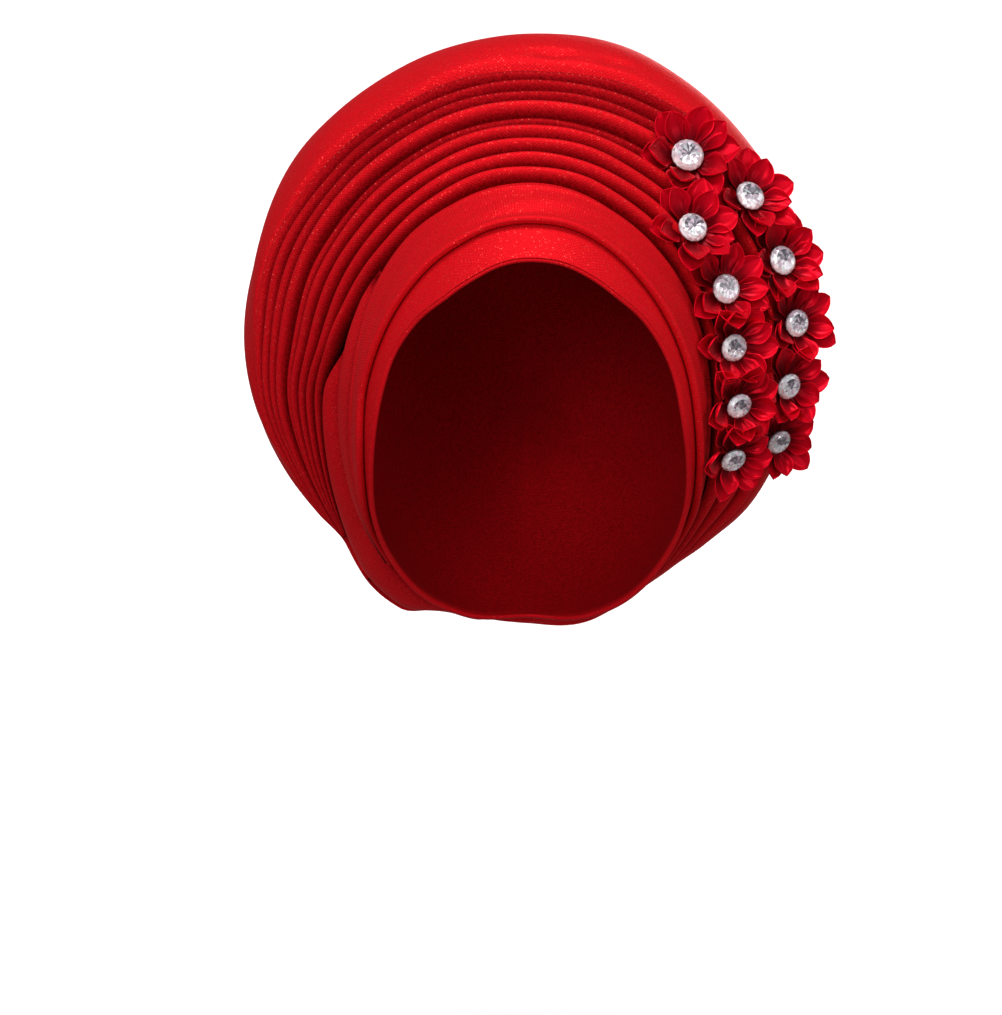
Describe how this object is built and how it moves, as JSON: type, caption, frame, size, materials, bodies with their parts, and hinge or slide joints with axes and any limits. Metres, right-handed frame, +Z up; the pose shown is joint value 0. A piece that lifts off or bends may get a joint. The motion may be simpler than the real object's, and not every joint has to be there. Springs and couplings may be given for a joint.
{
  "type": "tied gele head tie",
  "caption": "Pre-tied gele head tie: a close cap under folded bands, a tall fan of rounded pleats, a smooth draped back and satin flowers with cut stones at one side.",
  "frame": {"origin": "the inside top of the cap, where it sits on the crown of the head", "axes": "+Z up the head, -Y the way the face looks, +X to the side that carries the flowers"},
  "size_m": [0.2685, 0.2057, 0.2733],
  "materials": {
    "cap_cloth": "woven mesh cloth with a fine sparkle",
    "band_cloth": "woven mesh cloth with a fine sparkle",
    "strip_cloth": "woven mesh cloth with a fine sparkle",
    "tail_cloth": "woven mesh cloth with a fine sparkle",
    "fan_cloth": "pleated mesh cloth with rows of sparkle",
    "drape_cloth": "woven mesh cloth with a fine sparkle",
    "petal_satin": "glossy satin ribbon",
    "stone_foil": "foil-backed cut glass"
  },
  "bodies": {
    "root": {"cap": "cap_cloth", "fold_band": "band_cloth", "side_strip": "strip_cloth", "tail_wrap": "tail_cloth", "pleated_fan": "fan_cloth", "crown_drape": "drape_cloth", "flower_01": "petal_satin", "stone_01": "stone_foil", "flower_02": "petal_satin", "stone_02": "stone_foil", "flower_03": "petal_satin", "stone_03": "stone_foil", "flower_04": "petal_satin", "stone_04": "stone_foil", "flower_05": "petal_satin", "stone_05": "stone_foil", "flower_06": "petal_satin", "stone_06": "stone_foil", "flower_07": "petal_satin", "stone_07": "stone_foil", "flower_08": "petal_satin", "stone_08": "stone_foil", "flower_09": "petal_satin", "stone_09": "stone_foil", "flower_10": "petal_satin", "stone_10": "stone_foil", "flower_11": "petal_satin", "stone_11": "stone_foil"}
  },
  "joints": []
}
